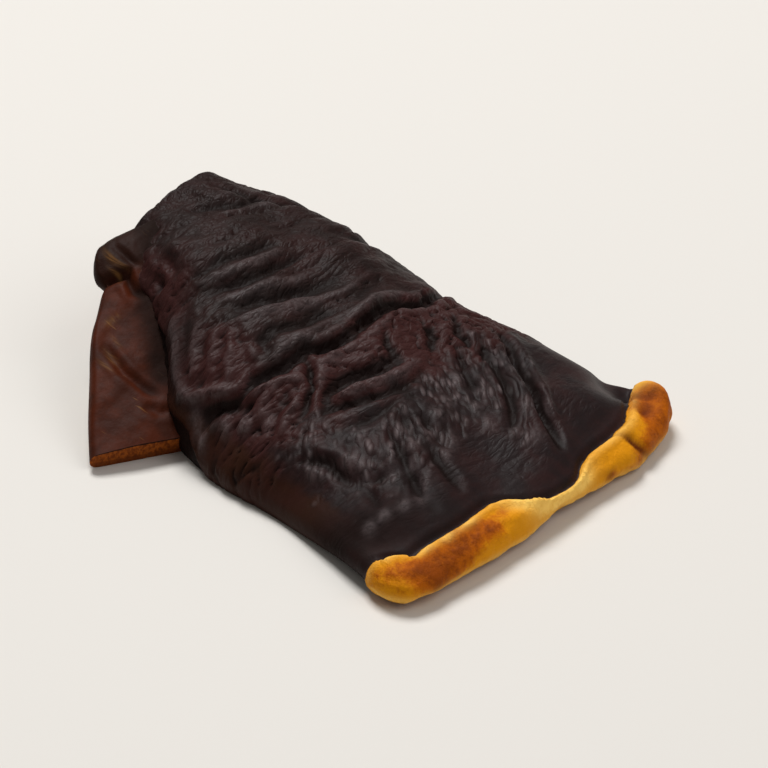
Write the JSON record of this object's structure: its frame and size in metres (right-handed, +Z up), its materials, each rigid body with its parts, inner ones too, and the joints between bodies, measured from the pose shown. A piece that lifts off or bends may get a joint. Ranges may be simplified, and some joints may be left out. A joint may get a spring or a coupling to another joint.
{
  "type": "dried reishi mushroom",
  "caption": "Dried reishi mushroom lying on its underside: an arched, wrinkled dark cap with a rolled golden growing lip, a folded side lobe and a hollow below.",
  "frame": {"origin": "centre of the bounding box on the surface that the mushroom rests on", "axes": "+X along the growing lip, towards its plain end, +Y from the growing lip to the cut back end, +Z up"},
  "size_m": [0.0664, 0.0818, 0.0214],
  "materials": {
    "dried_skin": "satin, wrinkled"
  },
  "bodies": {
    "root": {"mushroom": "dried_skin"}
  },
  "joints": []
}
